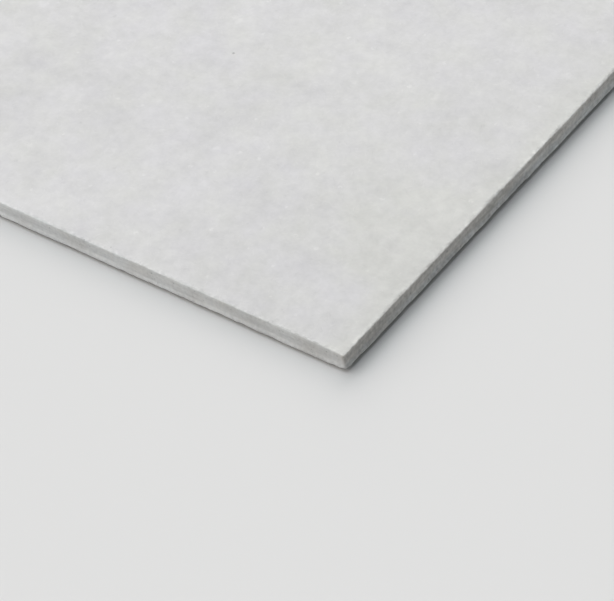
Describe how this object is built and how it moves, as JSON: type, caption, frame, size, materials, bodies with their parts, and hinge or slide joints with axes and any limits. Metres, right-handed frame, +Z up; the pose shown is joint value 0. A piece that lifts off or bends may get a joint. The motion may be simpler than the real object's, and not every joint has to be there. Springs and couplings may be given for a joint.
{
  "type": "fiber cement ceiling board",
  "caption": "Flat rectangular sheet of fiber cement with plain cut edges and a small lip at the foot of each, screwed up under joists to line a ceiling.",
  "frame": {"origin": "middle of the underside, on the level that the board lies on", "axes": "+X along the sheet, +Y across it, +Z up out of the show face"},
  "size_m": [2.44, 1.22, 0.006],
  "materials": {
    "fiber_cement": "matte"
  },
  "bodies": {
    "root": {"ceiling_board": "fiber_cement"}
  },
  "joints": []
}
